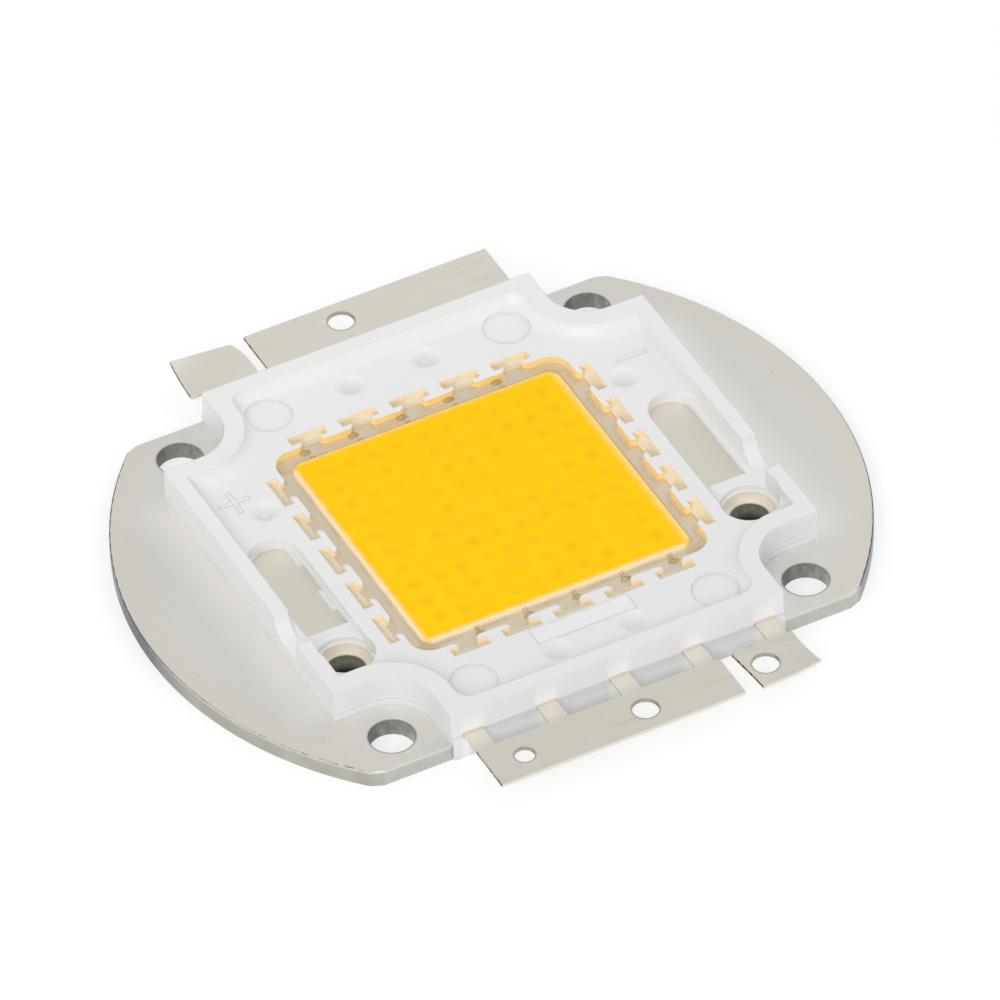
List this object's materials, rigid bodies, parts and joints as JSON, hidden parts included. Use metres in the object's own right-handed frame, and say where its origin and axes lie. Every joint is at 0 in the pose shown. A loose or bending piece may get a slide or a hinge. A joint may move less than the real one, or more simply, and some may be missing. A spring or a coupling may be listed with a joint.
{
  "type": "cob led",
  "caption": "Square chip-on-board light source on a round metal base plate with flats, with a white moulded frame, a yellow emitting area and flat solder tabs in front and behind.",
  "frame": {"origin": "centre of the base plate's underside, which is the plane that the part rests on", "axes": "+Z the way the light goes, out of the emitting area; +X to the right, across the two round ends of the base plate; -Y the front, the side whose wide solder tab has two holes; a length in millimetres in the source is metres here"},
  "size_m": [0.07, 0.065, 0.0052],
  "materials": {
    "base_plate": "satin nickel plating on copper",
    "lead_frame": "plated stamped strip, warm nickel grey",
    "housing": "white heat-proof moulding, slightly satin",
    "chips": "polished sapphire dice",
    "bond_wires": "bright gold wire",
    "phosphor": "soft yellow silicone filled with phosphor powder",
    "silicone": "clear soft silicone with a level, glossy surface"
  },
  "bodies": {
    "root": {"base_plate": "base_plate", "lead_front": "lead_frame", "lead_back": "lead_frame", "lead_rail_left": "lead_frame", "lead_rail_right": "lead_frame", "housing": "housing", "phosphor_layer": "phosphor", "clear_silicone": "silicone", "chip_column_01": "chips", "chip_column_02": "chips", "chip_column_03": "chips", "chip_column_04": "chips", "chip_column_05": "chips", "chip_column_06": "chips", "chip_column_07": "chips", "chip_column_08": "chips", "chip_column_09": "chips", "chip_column_10": "chips", "bond_wires_01": "bond_wires", "bond_wires_02": "bond_wires", "bond_wires_03": "bond_wires", "bond_wires_04": "bond_wires", "bond_wires_05": "bond_wires"}
  },
  "joints": []
}
